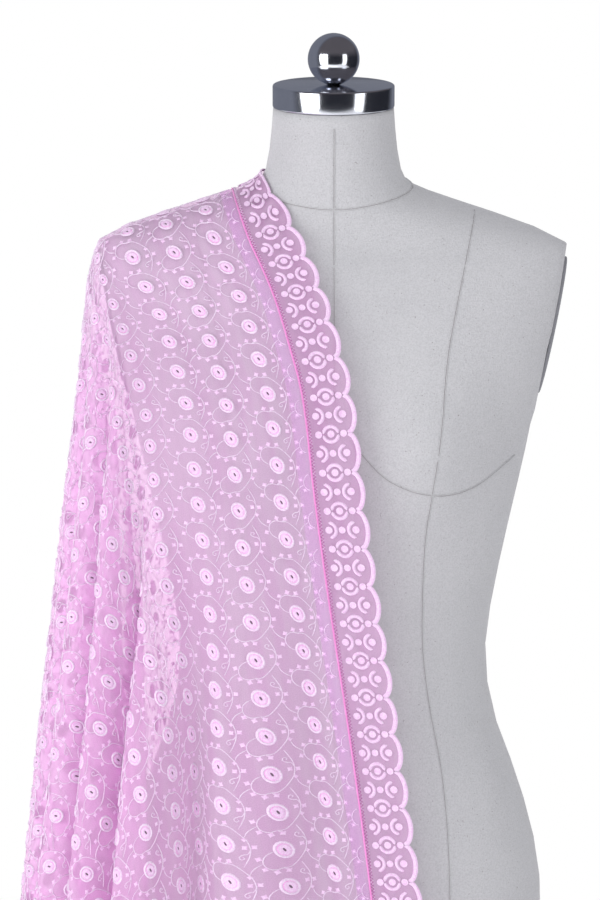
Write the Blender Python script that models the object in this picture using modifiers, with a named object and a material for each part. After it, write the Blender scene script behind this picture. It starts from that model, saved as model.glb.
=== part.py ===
# A dupatta stole laid over one shoulder of a limbless dress form.
# Metres, +Z up, the form faces -Y and stands on Z = 0. The stole is on the -X shoulder.
import math

import bmesh
import bpy
from mathutils import Matrix, Vector
from mathutils.bvhtree import BVHTree

# ---- driving dimensions of the stole ----
STOLE_LENGTH = 2.30       # half in front, half behind
BODY_WIDTH = 0.86         # lace seam to outer hem
LACE_WIDTH = 0.041        # seam to the crest of a scallop
NOTCH_DEPTH = 0.0065      # crest to notch
SCALLOP_PITCH = 0.030
ON_SHOULDER = 0.119       # body cloth between the lace seam and the shoulder tip
CLOTH = 0.0012            # wall of the body and the lace
CLEARANCE = 0.0038        # form surface to the middle of the cloth wall
SPLIT_GAP = 0.0005        # half the gap where the front and back stretches meet
SEAM_GAP = 0.0003

# ---- driving dimensions of the dress form ----
RING_POINTS = 48
RING_STEP = 0.7           # rings are set at every 0.7 of a row of the torso table
BUST_OUT = 0.024
BUST_X = 0.083
BUST_Z = 1.275
BUST_SPREAD = (0.050, 0.058)
PLATE_TOP = (0.1960, 1.4400)      # outer face line of the arm plates, x and z
PLATE_FOOT = (0.1690, 1.3050)
PLATE_THICK = 0.003
PLATE_HALF = (0.034, 0.058)       # half depth and half height of the oval
CAP_RADIUS = 0.0500
CAP_HEIGHT = 0.0185
CAP_TILT = 10.0
BALL_RADIUS = 0.0212
STEM_RADIUS = 0.0030
STEM_HEIGHT = 0.0012
HIP_BOARD = 0.012
POLE_RADIUS = 0.0125
COLLAR_RADIUS = 0.030
COLLAR_HEIGHT = 0.045
BASE_RADIUS = 0.200
BASE_HEIGHT = 0.008
PART_GAP = 0.0003

# Torso and neck, from the hip board up. z at the sides, front and back of the ring,
# half width, depth forward and back of the ring's middle, middle's y, corner squareness
TORSO = [
    # side,  front,  back,   half_w, fore,   aft,    mid_y,  square
    (0.8000, 0.8000, 0.8000, 0.1680, 0.1030, 0.1140, 0.000, 2.30),
    (0.8550, 0.8550, 0.8550, 0.1740, 0.1100, 0.1220, 0.000, 2.30),
    (0.9050, 0.9050, 0.9050, 0.1745, 0.1150, 0.1230, 0.000, 2.30),
    (0.9520, 0.9520, 0.9520, 0.1670, 0.1150, 0.1160, 0.000, 2.30),
    (1.0000, 1.0000, 1.0000, 0.1525, 0.1100, 0.1030, 0.000, 2.25),
    (1.0450, 1.0450, 1.0450, 0.1360, 0.1020, 0.0920, 0.000, 2.20),
    (1.0930, 1.0930, 1.0930, 0.1275, 0.0960, 0.0860, 0.000, 2.20),
    (1.1400, 1.1400, 1.1400, 0.1318, 0.0965, 0.0880, 0.000, 2.20),
    (1.1900, 1.1900, 1.1900, 0.1418, 0.0990, 0.0940, 0.000, 2.25),
    (1.2350, 1.2350, 1.2350, 0.1520, 0.1010, 0.1000, 0.000, 2.30),
    (1.2800, 1.2800, 1.2800, 0.1625, 0.1010, 0.1050, 0.000, 2.35),
    (1.3300, 1.3300, 1.3300, 0.1790, 0.0960, 0.1070, 0.000, 2.45),
    (1.3750, 1.3750, 1.3750, 0.1920, 0.0850, 0.1050, 0.000, 2.55),
    (1.4150, 1.4150, 1.4170, 0.1985, 0.0710, 0.0960, 0.000, 2.55),
    (1.4410, 1.4340, 1.4460, 0.1950, 0.0600, 0.0800, 0.000, 2.40),
    (1.4580, 1.4490, 1.4680, 0.1550, 0.0550, 0.0680, 0.000, 2.25),
    (1.4710, 1.4590, 1.4840, 0.1130, 0.0530, 0.0600, 0.000, 2.15),
    (1.4815, 1.4670, 1.4950, 0.0800, 0.0520, 0.0550, -0.001, 2.10),
    (1.4900, 1.4740, 1.5040, 0.0625, 0.0510, 0.0520, -0.003, 2.05),
    (1.5040, 1.4930, 1.5140, 0.0552, 0.0500, 0.0500, -0.007, 2.00),
    (1.5280, 1.5200, 1.5350, 0.0515, 0.0495, 0.0495, -0.013, 2.00),
    (1.5520, 1.5434, 1.5606, 0.0495, 0.0490, 0.0490, -0.020, 2.00),
]

# The lace seam's way down the front: length of cloth from the ridge, x, z, how far forward
# the cloth stands at the seam and below the shoulder tip, and the fall of the cross threads
FRONT_RUN = [
    # run,   x,       z,      seam_y,  outer_y, fall_degrees
    (0.000, -0.0830, 1.4855, 0.0000, 0.0000, 17.3),
    (0.054, -0.0716, 1.4490, -0.0560, -0.0340, 16.0),
    (0.098, -0.0558, 1.4155, -0.0770, -0.0560, 14.0),
    (0.129, -0.0460, 1.3910, -0.0900, -0.0700, 12.0),
    (0.166, -0.0363, 1.3590, -0.1050, -0.0880, 9.5),
    (0.196, -0.0283, 1.3310, -0.1150, -0.1010, 7.5),
    (0.226, -0.0235, 1.3030, -0.1210, -0.1110, 5.0),
    (0.284, -0.0172, 1.2456, -0.1290, -0.1230, 2.0),
    (0.354, -0.0077, 1.1760, -0.1310, -0.1300, 0.0),
    (0.490, 0.0124, 1.0420, -0.1330, -0.1360, 0.0),
    (0.609, 0.0283, 0.9240, -0.1350, -0.1400, 0.0),
    (0.850, 0.0560, 0.6850, -0.1370, -0.1440, 0.0),
    (1.150, 0.0790, 0.3860, -0.1380, -0.1460, 0.0),
]
BACK_RUN = [
    # run,   x,       z,      seam_y, outer_y, fall_degrees
    (0.000, -0.0830, 1.4855, 0.0000, 0.0000, 17.3),
    (0.060, -0.0760, 1.4540, 0.0560, 0.0380, 15.0),
    (0.130, -0.0660, 1.3950, 0.1000, 0.0760, 11.0),
    (0.200, -0.0560, 1.3280, 0.1130, 0.1000, 7.0),
    (0.300, -0.0440, 1.2300, 0.1180, 0.1150, 3.0),
    (0.450, -0.0300, 1.0820, 0.1230, 0.1250, 0.0),
    (0.610, -0.0160, 0.9230, 0.1290, 0.1330, 0.0),
    (0.850, 0.0000, 0.6850, 0.1330, 0.1380, 0.0),
    (1.150, 0.0140, 0.3870, 0.1360, 0.1420, 0.0),
]
# The outline beside the arm: drop below the shoulder tip, and how far out the cloth reaches
OUTLINE = [
    # drop,  x
    (0.000, -0.1985),
    (0.045, -0.2062),
    (0.095, -0.2130),
    (0.160, -0.2195),
    (0.226, -0.2260),
    (0.292, -0.2320),
    (0.407, -0.2460),
    (0.540, -0.2620),
    (0.740, -0.2860),
    (1.000, -0.3140),
    (1.400, -0.3480),
]
# Folds between the shoulder tip's column and the middle of the side: share of the way
# round that the fold takes, its depth where it is full grown, and its lean to the side
FRONT_FOLDS = [
    # share, depth, lean
    (0.290, 0.058, 0.30),
    (0.240, 0.084, 0.16),
    (0.240, 0.094, 0.12),
    (0.230, 0.084, -0.10),
]
BACK_FOLDS = [
    # share, depth, lean
    (0.230, 0.064, 0.25),
    (0.240, 0.086, 0.20),
    (0.270, 0.090, 0.10),
    (0.260, 0.074, -0.10),
]
FOLD_PHASES = (0.0, 0.11, 0.22, 0.36, 0.50, 0.64, 0.78, 0.89)
FOLD_FLATNESS = 3.4       # broad heads, narrow valleys
FOLD_HEAD = 0.125         # how far a fold's head spreads over the valleys beside it
FOLD_INSET = 0.074        # of the drape's core behind the outline, where folds are full
FOLD_FULL_RUN = 0.60      # cloth below the tip at which a fold has its full depth
FOLD_GROWTH = 0.9         # power of the fold's growth down to there
FOLD_RATE = 0.5           # of its growth below there
FOLD_WEIGHT = 3.4         # share of the cloth that a metre of depth takes beside the width
HEAD_RUN = 0.5            # cloth below the tip at which a fold's head is fully spread
SIDE_GIRTH = 0.21         # way round from the shoulder tip's column to the middle of the side
SIDE_HANG = 0.985         # drop of the side for each metre of cloth
SIDE_EASE = 1.25          # how soon round the side the cloth hangs that way
ROW_SHARES = (0.0, 0.012, 0.026, 0.044, 0.075, 0.11, 0.15, 0.195, 0.245, 0.30, 0.37, 0.45,
              0.54, 0.64, 0.74, 0.83, 0.92, 1.0)
PANEL_COLUMNS = 4
STEPS_PER_SCALLOP = 3
SIDE_ROUNDNESS = 2.5      # of the curve from the front of the drape to its side


def clear_scene():
    for item in list(bpy.data.objects):
        bpy.data.objects.remove(item, do_unlink=True)


def make_material(name, colour, roughness, metallic):
    material = bpy.data.materials.new(name)
    material.use_nodes = True
    shader = material.node_tree.nodes["Principled BSDF"]
    shader.inputs["Base Color"].default_value = (*colour, 1.0)
    shader.inputs["Roughness"].default_value = roughness
    shader.inputs["Metallic"].default_value = metallic
    material.diffuse_color = (*colour, 1.0)
    return material


def add_object(name, mesh, material, collection):
    item = bpy.data.objects.new(name, mesh)
    item.data.materials.append(material)
    collection.objects.link(item)
    return item


def mesh_from_bmesh(name, shape):
    mesh = bpy.data.meshes.new(name)
    shape.to_mesh(mesh)
    shape.free()
    mesh.shade_smooth()
    mesh.set_sharp_from_angle(angle=math.radians(35))
    return mesh


def row_at(table, key):
    # the row at a key held in the first column, eased between the rows, straight past the ends
    last = len(table) - 1
    index = 0
    while index < last - 1 and table[index + 1][0] < key:
        index += 1
    low, high = table[index], table[index + 1]
    span = high[0] - low[0]
    share = (key - low[0]) / span
    before = table[max(index - 1, 0)]
    after = table[min(index + 2, last)]
    values = []
    for column in range(1, len(low)):
        slope_low = (high[column] - before[column]) / (high[0] - before[0]) * span
        slope_high = (after[column] - low[column]) / (after[0] - low[0]) * span
        if share > 1.0:
            values.append(high[column] + slope_high * (share - 1.0))
            continue
        s2 = share * share
        s3 = s2 * share
        values.append((2 * s3 - 3 * s2 + 1) * low[column] + (s3 - 2 * s2 + share) * slope_low
                      + (3 * s2 - 2 * s3) * high[column] + (s3 - s2) * slope_high)
    return values


def rounded(value, power):
    return math.copysign(abs(value) ** power, value)


# ---- the dress form ----
def plate_line(z, outer):
    share = (z - PLATE_FOOT[1]) / (PLATE_TOP[1] - PLATE_FOOT[1])
    face = PLATE_FOOT[0] + (PLATE_TOP[0] - PLATE_FOOT[0]) * share
    return face if outer else face - PLATE_THICK - PART_GAP


def torso_ring(key):
    table = [(float(index), *row) for index, row in enumerate(TORSO)]
    side, front, back, half_w, fore, aft, mid_y, square = row_at(table, key)
    points = []
    for step in range(RING_POINTS):
        angle = 2 * math.pi * step / RING_POINTS
        across = rounded(math.cos(angle), 2 / square)
        along = rounded(math.sin(angle), 2 / square)
        x = half_w * across
        y = mid_y + (aft if along > 0 else fore) * along
        level = front if along < 0 else back
        z = side + (level - side) * abs(math.sin(angle))
        if along < 0:
            wide = (abs(x) - BUST_X) / BUST_SPREAD[0]
            high = (z - BUST_Z) / BUST_SPREAD[1]
            y -= BUST_OUT * math.exp(-wide * wide - high * high) * abs(along)
        if z > PLATE_FOOT[1] - 0.02:
            x = math.copysign(min(abs(x), plate_line(z, False)), x)
        points.append(Vector((x, y, z)))
    return points


def loft(rings):
    shape = bmesh.new()
    loops = [[shape.verts.new(point) for point in ring] for ring in rings]
    count = len(rings[0])
    for low, high in zip(loops, loops[1:]):
        for step in range(count):
            after = (step + 1) % count
            shape.faces.new((low[step], low[after], high[after], high[step]))
    shape.faces.new(list(reversed(loops[0])))
    shape.faces.new(loops[-1])
    bmesh.ops.recalc_face_normals(shape, faces=shape.faces)
    return shape


def make_torso(material, collection):
    last = len(TORSO) - 1
    count = round(last / RING_STEP)
    rings = [torso_ring(last * index / count) for index in range(count + 1)]
    shape = loft(rings)
    return add_object("form_torso", mesh_from_bmesh("form_torso", shape), material, collection)


def make_arm_plate(name, side, material, collection):
    run = Vector((PLATE_TOP[0] - PLATE_FOOT[0], 0, PLATE_TOP[1] - PLATE_FOOT[1])).normalized()
    outward = Vector((run.z, 0, -run.x))
    middle_z = (PLATE_TOP[1] + PLATE_FOOT[1]) / 2
    middle = Vector((plate_line(middle_z, True), 0.0, middle_z)) - outward * PLATE_THICK / 2
    shape = bmesh.new()
    bmesh.ops.create_cone(shape, cap_ends=True, segments=36, radius1=1, radius2=1, depth=PLATE_THICK)
    bmesh.ops.scale(shape, vec=(PLATE_HALF[1], PLATE_HALF[0], 1), verts=shape.verts)
    place = Matrix((run, (0, 1, 0), outward)).transposed().to_4x4()
    bmesh.ops.transform(shape, matrix=Matrix.Translation(middle) @ place, verts=shape.verts)
    bmesh.ops.scale(shape, vec=(side, 1, 1), verts=shape.verts)
    bmesh.ops.recalc_face_normals(shape, faces=shape.faces)
    return add_object(name, mesh_from_bmesh(name, shape), material, collection)


def make_turned(name, profile, segments, material, collection):
    # profile runs down the outer side, each point a radius and a height
    shape = bmesh.new()
    axis_top = shape.verts.new((0, 0, profile[0][1]))
    verts = [axis_top] + [shape.verts.new((radius, 0, height)) for radius, height in profile]
    verts.append(shape.verts.new((0, 0, profile[-1][1])))
    edges = [shape.edges.new(pair) for pair in zip(verts, verts[1:])]
    bmesh.ops.spin(shape, geom=verts + edges, cent=(0, 0, 0), axis=(0, 0, 1), dvec=(0, 0, 0),
                   angle=2 * math.pi, steps=segments, use_merge=True, use_duplicate=False)
    bmesh.ops.remove_doubles(shape, verts=shape.verts, dist=0.00001)
    bmesh.ops.recalc_face_normals(shape, faces=shape.faces)
    return add_object(name, mesh_from_bmesh(name, shape), material, collection)


def make_head_fittings(materials, collection):
    # cap, stem and ball stand on the neck's tilted top
    neck_middle = Vector((0.0, TORSO[-1][6], TORSO[-1][0]))
    tilt = Matrix.Rotation(math.radians(CAP_TILT), 4, "X")
    round_edge = 0.002
    cap_low = PART_GAP
    cap_top = cap_low + CAP_HEIGHT
    cap = make_turned("neck_cap", [
        (CAP_RADIUS - round_edge, cap_top), (CAP_RADIUS - round_edge * 0.3, cap_top - round_edge * 0.3),
        (CAP_RADIUS, cap_top - round_edge), (CAP_RADIUS, cap_low + round_edge / 2),
        (CAP_RADIUS - round_edge / 2, cap_low),
    ], 56, materials["chrome"], collection)
    stem_low = cap_top + PART_GAP
    stem = make_turned("finial_stem", [
        (STEM_RADIUS, stem_low + STEM_HEIGHT), (STEM_RADIUS, stem_low),
    ], 24, materials["chrome"], collection)
    ball_middle = stem_low + STEM_HEIGHT + PART_GAP + BALL_RADIUS
    shape = bmesh.new()
    bmesh.ops.create_uvsphere(shape, u_segments=28, v_segments=18, radius=BALL_RADIUS)
    bmesh.ops.translate(shape, vec=(0, 0, ball_middle), verts=shape.verts)
    ball = add_object("finial_ball", mesh_from_bmesh("finial_ball", shape), materials["chrome"], collection)
    for item in (cap, stem, ball):
        item.matrix_world = Matrix.Translation(neck_middle) @ tilt


def make_stand(materials, collection):
    hip_top = TORSO[0][0] - PART_GAP
    hip_low = hip_top - HIP_BOARD
    shape = loft([
        [Vector((point.x * share, point.y * share, level)) for point in torso_ring(0.0)]
        for level, share in ((hip_low, 0.955), (hip_low + 0.002, 0.965), (hip_top, 0.965))
    ])
    add_object("hip_board", mesh_from_bmesh("hip_board", shape), materials["board"], collection)
    plate_top = BASE_HEIGHT
    edge = 0.003
    make_turned("base_plate", [
        (BASE_RADIUS - edge, plate_top), (BASE_RADIUS - edge * 0.3, plate_top - edge * 0.3),
        (BASE_RADIUS, plate_top - edge), (BASE_RADIUS, 0.0),
    ], 56, materials["base"], collection)
    collar_low = plate_top + PART_GAP
    make_turned("pole_collar", [
        (COLLAR_RADIUS * 0.62, collar_low + COLLAR_HEIGHT), (COLLAR_RADIUS * 0.70, collar_low + COLLAR_HEIGHT * 0.5),
        (COLLAR_RADIUS, collar_low + 0.006), (COLLAR_RADIUS, collar_low),
    ], 32, materials["chrome"], collection)
    pole_low = collar_low + COLLAR_HEIGHT + PART_GAP
    make_turned("pole", [
        (POLE_RADIUS, hip_low - PART_GAP), (POLE_RADIUS, pole_low),
    ], 24, materials["chrome"], collection)


# ---- the stole ----
def smooth_step(share):
    share = min(max(share, 0.0), 1.0)
    return share * share * (3 - 2 * share)


def longest_run(theta):
    # cloth from the shoulder tip to the hem, in the direction theta from straight down
    beyond_tip = BODY_WIDTH - ON_SHOULDER
    half = STOLE_LENGTH / 2
    to_side = beyond_tip / max(math.sin(theta), 0.0001)
    to_end = half / max(math.cos(theta), 0.0001)
    return min(to_side, to_end)


def panel_point(run_table, u, run):
    # u is measured from the lace seam, outwards over the body and negative over the lace
    x, z, seam_y, outer_y, fall = row_at(run_table, run)
    share = u / ON_SHOULDER
    fall = math.radians(fall)
    point = Vector((x - u * math.cos(fall), seam_y + (outer_y - seam_y) * max(share, 0.0),
                    z - u * math.sin(fall)))
    if u < 0:
        climb = (u / LACE_WIDTH) ** 2 * (1 - smooth_step(run / 0.05))
        point.z += 0.013 * climb
        point.x -= 0.013 * climb
    return point


def fold_at(folds, share, run):
    # outward rise of the fold and its shift to the side
    around = SIDE_GIRTH * smooth_step(run / HEAD_RUN)
    start = 0.0
    for width, depth, lean in folds:
        if share <= start + width + 0.000001:
            phase = (share - start) / width
            rise = depth * (1 - abs(math.cos(math.pi * phase)) ** FOLD_FLATNESS)
            spread = -FOLD_HEAD * width * math.sin(2 * math.pi * phase) * around
            return rise, rise * lean + spread
        start += width
    return 0.0, 0.0


def fold_growth(run, power):
    share = run / FOLD_FULL_RUN
    return 1.0 + FOLD_RATE * (share - 1.0) if share > 1.0 else share ** power


def fan_point(run_table, folds, share, run):
    # share goes from the shoulder tip's column, 0, to the middle of the side, 1
    column = panel_point(run_table, ON_SHOULDER, run)
    tip = panel_point(run_table, ON_SHOULDER, 0.0)
    drop_here = tip.z - column.z
    side_drop = SIDE_HANG * run
    drop = drop_here + (side_drop - drop_here) * smooth_step(share * SIDE_EASE)
    reach = row_at(OUTLINE, drop)[0] + FOLD_INSET * fold_growth(run, 1.0)
    reach = min(reach, column.x - 0.0001)
    turn = share * math.pi / 2
    across = math.sin(turn) ** (2 / SIDE_ROUNDNESS)
    depth = max(math.cos(turn), 0.0) ** (2 / SIDE_ROUNDNESS)
    point = Vector((column.x + (reach - column.x) * across, column.y * depth, tip.z - drop))
    forward = -1.0 if run_table is FRONT_RUN else 1.0
    outward = Vector((-math.sin(turn), forward * math.cos(turn), 0.0))
    sideways = Vector((-math.cos(turn), -forward * math.sin(turn), 0.0))
    out, lean = fold_at(folds, share, run)
    return point + fold_growth(run, FOLD_GROWTH) * (out * outward + lean * sideways)


def fan_columns(folds):
    # the shares round the drape at which a column is set, with each column's direction in
    # the flat cloth: a deep fold takes more of the quarter turn
    weights = [width + FOLD_WEIGHT * depth for width, depth, lean in folds]
    total = sum(weights)
    columns = []
    share_start = 0.0
    turn_start = 0.0
    for (width, depth, lean), weight in zip(folds, weights):
        for phase in FOLD_PHASES:
            columns.append((share_start + width * phase, turn_start + weight / total * phase))
        share_start += width
        turn_start += weight / total
    columns.append((1.0, 1.0))
    return [(share, turn * math.pi / 2) for share, turn in columns[1:]]


def clear_of_form(point, form, forward, limit=SPLIT_GAP):
    # moves a point of the cloth out to its clearance from the form, and off the split
    for attempt in range(3):
        near, normal, index, distance = form.find_nearest(point)
        height = (point - near).dot(normal)
        if height >= CLEARANCE or distance > 0.08:
            break
        point = point + normal * (CLEARANCE - height)
    if point.y * forward < limit:
        point.y = limit * forward
    return point


def lift_between(grid, form, forward, held=0):
    # raises the corners of each face whose middle or edges would dip into the form, but
    # not those of the first columns, where these are held
    for attempt in range(8):
        for number in range(len(grid) - 1):
            near, far = grid[number], grid[number + 1]
            for row in range(len(near) - 1):
                corners = (near[row], near[row + 1], far[row + 1], far[row])
                samples = [sum(corners, Vector()) / 4]
                samples += [(first + second) / 2 for first, second in zip(corners, corners[1:] + corners[:1])]
                movable = corners[2:] if number < held else corners
                for sample in samples:
                    surface, normal, index, distance = form.find_nearest(sample)
                    height = (sample - surface).dot(normal)
                    if height < CLEARANCE * 0.9 and distance < 0.03:
                        for corner in movable:
                            corner += normal * (CLEARANCE * 0.9 - height)
                            corner.y = max(corner.y * forward, SPLIT_GAP) * forward
    return grid


def sheet_object(name, grid, material, collection):
    # grid is a list of columns, each a list of points from the ridge to the hem
    shape = bmesh.new()
    columns = [[shape.verts.new(point) for point in column] for column in grid]
    for near, far in zip(columns, columns[1:]):
        for row in range(len(near) - 1):
            shape.faces.new((near[row], near[row + 1], far[row + 1], far[row]))
    bmesh.ops.remove_doubles(shape, verts=shape.verts, dist=0.00005)
    bmesh.ops.recalc_face_normals(shape, faces=shape.faces)
    item = add_object(name, mesh_from_bmesh(name, shape), material, collection)
    wall = item.modifiers.new("wall", "SOLIDIFY")
    wall.thickness = CLOTH
    wall.offset = 0.0
    return item


def make_body(name, run_table, folds, forward, form, material, collection):
    # returns the points of its edge at the lace seam
    half = STOLE_LENGTH / 2
    grid = []
    for index in range(PANEL_COLUMNS + 1):
        u = ON_SHOULDER * index / PANEL_COLUMNS
        column = [panel_point(run_table, u, half * share) for share in ROW_SHARES]
        grid.append([clear_of_form(point, form, forward) for point in column])
    for share, theta in fan_columns(folds):
        reach = longest_run(theta)
        column = [fan_point(run_table, folds, share, reach * row) for row in ROW_SHARES]
        limit = SPLIT_GAP + CLOTH * (0.5 if share == 1.0 else 1.5)
        grid.append([clear_of_form(point, form, forward, limit) for point in column])
    lift_between(grid, form, forward)
    for column in grid[PANEL_COLUMNS:]:
        column[0] = grid[PANEL_COLUMNS][0].copy()
    sheet_object(name, grid, material, collection)
    return grid[0]


def along_edge(edge, share):
    # a point of the straight-sided edge, at a share of the cloth's way to the hem
    row = 0
    while row < len(ROW_SHARES) - 2 and ROW_SHARES[row + 1] < share:
        row += 1
    part = (share - ROW_SHARES[row]) / (ROW_SHARES[row + 1] - ROW_SHARES[row])
    return edge[row].lerp(edge[row + 1], part)


def make_lace(name, run_table, edge, forward, form, material, collection):
    half = STOLE_LENGTH / 2
    count = int(half / SCALLOP_PITCH) * STEPS_PER_SCALLOP
    inner = []
    outer = []
    for step in range(count + 1):
        share = step / count
        phase = (step / STEPS_PER_SCALLOP) % 1.0
        crest = min(math.sin(math.pi * phase) / math.sin(math.pi / STEPS_PER_SCALLOP), 1.0)
        reach = LACE_WIDTH - NOTCH_DEPTH + NOTCH_DEPTH * crest
        seam = along_edge(edge, share)
        across = panel_point(run_table, -reach, half * share) - panel_point(run_table, 0.0, half * share)
        inner.append(seam + across.normalized() * SEAM_GAP * 2)
        outer.append(clear_of_form(seam + across, form, forward))
    grid = lift_between([inner, outer], form, forward, held=1)
    sheet_object(name, grid, material, collection)


def main():
    clear_scene()
    collection = bpy.data.collections.new("dupatta_stole")
    bpy.context.scene.collection.children.link(collection)
    materials = {
        "georgette": make_material("pink_georgette", (0.86, 0.50, 0.72), 0.75, 0.0),
        "lace": make_material("pink_lace", (0.90, 0.48, 0.70), 0.70, 0.0),
        "linen": make_material("off_white_linen", (0.66, 0.64, 0.60), 0.90, 0.0),
        "plate": make_material("grey_arm_plate", (0.45, 0.46, 0.48), 0.60, 0.0),
        "chrome": make_material("chrome", (0.60, 0.60, 0.62), 0.12, 1.0),
        "board": make_material("hip_board", (0.55, 0.52, 0.47), 0.80, 0.0),
        "base": make_material("base_steel", (0.50, 0.50, 0.52), 0.30, 1.0),
    }
    torso = make_torso(materials["linen"], collection)
    make_arm_plate("arm_plate_right", 1, materials["plate"], collection)
    left_plate = make_arm_plate("arm_plate_left", -1, materials["plate"], collection)
    make_head_fittings(materials, collection)
    make_stand(materials, collection)

    solid = bmesh.new()
    solid.from_mesh(torso.data)
    solid.from_mesh(left_plate.data)
    bmesh.ops.triangulate(solid, faces=solid.faces)
    form = BVHTree.FromBMesh(solid)
    solid.free()
    for place, run_table, folds, forward in (
        ("front", FRONT_RUN, FRONT_FOLDS, -1),
        ("back", BACK_RUN, BACK_FOLDS, 1),
    ):
        edge = make_body("stole_body_" + place, run_table, folds, forward, form,
                         materials["georgette"], collection)
        make_lace("lace_border_" + place, run_table, edge, forward, form, materials["lace"], collection)


main()
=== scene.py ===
# Dupatta stole on a linen dress form: the looks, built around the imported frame.
import math

import bmesh
import bpy
import numpy as np
from mathutils import Matrix, Vector
from mathutils.bvhtree import BVHTree


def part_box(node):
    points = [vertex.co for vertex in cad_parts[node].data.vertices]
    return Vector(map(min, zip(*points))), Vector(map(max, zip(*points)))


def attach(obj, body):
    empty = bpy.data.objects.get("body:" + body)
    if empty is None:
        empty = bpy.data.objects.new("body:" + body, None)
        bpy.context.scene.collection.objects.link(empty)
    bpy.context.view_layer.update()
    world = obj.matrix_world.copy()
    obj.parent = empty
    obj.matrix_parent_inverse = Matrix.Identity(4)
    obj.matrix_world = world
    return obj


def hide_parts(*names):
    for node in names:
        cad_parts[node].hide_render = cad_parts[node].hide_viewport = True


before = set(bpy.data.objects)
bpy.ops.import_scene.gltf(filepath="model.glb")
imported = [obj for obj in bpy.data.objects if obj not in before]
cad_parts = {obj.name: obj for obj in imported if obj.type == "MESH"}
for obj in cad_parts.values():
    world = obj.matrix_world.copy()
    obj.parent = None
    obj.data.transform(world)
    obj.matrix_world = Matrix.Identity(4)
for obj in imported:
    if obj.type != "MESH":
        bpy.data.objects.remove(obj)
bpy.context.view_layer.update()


# Helpers that the pieces share
def newMaterial(name):
    material = bpy.data.materials.new(name)
    material.use_nodes = True
    tree = material.node_tree
    return material, tree, tree.nodes["Principled BSDF"]


def setSockets(node, values):
    for name, value in values.items():
        node.inputs[name].default_value = value


def addNode(tree, kind, **inputs):
    node = tree.nodes.new(kind)
    for key, value in inputs.items():
        node.inputs[key.replace("_", " ")].default_value = value
    return node


def rampNode(tree, factor, stops):
    ramp = tree.nodes.new("ShaderNodeValToRGB")
    elements = ramp.color_ramp.elements
    while len(elements) < len(stops):
        elements.new(0.5)
    for element, (place, colour) in zip(elements, stops):
        element.position = place
        element.color = (*colour, 1.0)
    tree.links.new(factor, ramp.inputs["Fac"])
    return ramp.outputs["Color"]


def noiseNode(tree, place, scale, detail, roughness=0.5):
    noise = addNode(tree, "ShaderNodeTexNoise", Scale=scale, Detail=detail, Roughness=roughness)
    tree.links.new(place, noise.inputs["Vector"])
    return noise.outputs["Fac"]


def stretchNode(tree, place, scale):
    stretch = addNode(tree, "ShaderNodeMapping", Scale=scale)
    tree.links.new(place, stretch.inputs["Vector"])
    return stretch.outputs["Vector"]


def mixNode(tree, blend, first, second):
    mix = tree.nodes.new("ShaderNodeMix")
    mix.data_type, mix.blend_type = "RGBA", blend
    mix.inputs["Factor"].default_value = 1.0
    tree.links.new(first, mix.inputs["A"])
    tree.links.new(second, mix.inputs["B"])
    return mix.outputs["Result"]


def mixShaders(tree, first, second):
    mix = tree.nodes.new("ShaderNodeMixShader")
    tree.links.new(first.outputs[0], mix.inputs[1])
    tree.links.new(second.outputs[0], mix.inputs[2])
    return mix


def addBump(tree, shader, height, strength, distance):
    bump = addNode(tree, "ShaderNodeBump", Strength=strength, Distance=distance)
    tree.links.new(height, bump.inputs["Height"])
    tree.links.new(bump.outputs["Normal"], shader.inputs["Normal"])
    return bump


def finishPiece(name, mesh, materials, slot, *nodes):
    piece = bpy.data.objects.new(name, mesh)
    for material in materials:
        piece.data.materials.append(material)
    bpy.context.scene.collection.objects.link(piece)
    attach(piece, "root")
    if nodes:
        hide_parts(*nodes)
    return piece


def meshFromShape(name, shape, sharpDegrees=None):
    mesh = bpy.data.meshes.new(name)
    shape.to_mesh(mesh)
    shape.free()
    mesh.shade_smooth()
    if sharpDegrees:
        mesh.set_sharp_from_angle(angle=math.radians(sharpDegrees))
    return mesh


def mergedCopy(nodeName):
    shape = bmesh.new()
    shape.from_mesh(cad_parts[nodeName].data)
    bmesh.ops.remove_doubles(shape, verts=shape.verts, dist=0.00002)
    return shape


# The drape: where each point of the flat cloth lies
stole = {
    "length": 2.30, "bodyWidth": 0.86, "laceWidth": 0.041, "notchDepth": 0.0065,
    "scallopPitch": 0.030, "onShoulder": 0.119,
    "clearance": 0.0024,       # form to cloth, a little under the plain solid's
    "formLow": 0.79,           # below this level there is no form to keep clear of
    "clearReach": 0.05,        # farthest from the form's surface that a point is brought out
    "laceClimb": 0.013, "climbRun": 0.05,      # the lace stands up against the neck beside the ridge
    "sideRoundness": 2.5, "foldFullRun": 0.60, "gridStep": 0.006,
    "foldGrowth": 0.9,         # how the folds deepen as far as the full run
    "foldRate": 0.5,           # how fast they deepen beyond it
    "foldFlatness": 3.4,       # broad heads, narrow valleys
    "foldHead": 0.125,         # how far a fold's head spreads over the valleys beside it
    "headRun": 0.5, "headDepth": 0.07,         # run and depth from which heads spread in full
    "foldInset": 0.074,        # of the drape's core behind the outline, where folds are full
    "foldSpan": 0.15,          # cloth on the shoulder that counts as one share of the way round
    "panelFlat": 0.26, "panelRun": 0.30,       # the panel stays flat so far, then folds come in
    "panelShare": 0.25,        # share of the way round where the panel's flatness ends
    "sideGirth": 0.21,         # metres across that one share takes up, for the spread of heads
    "sideHang": 0.985, "sideEase": 1.25,       # how far and how soon the side hangs straight
}
# how far the folds slant to the side on their way down, in shares of the way round
slant = {"zeroRun": 0.38, "steep": 0.62, "bendRun": 0.65, "gentle": 0.3, "fade": 1.3, "atBack": 0.35}
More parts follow.
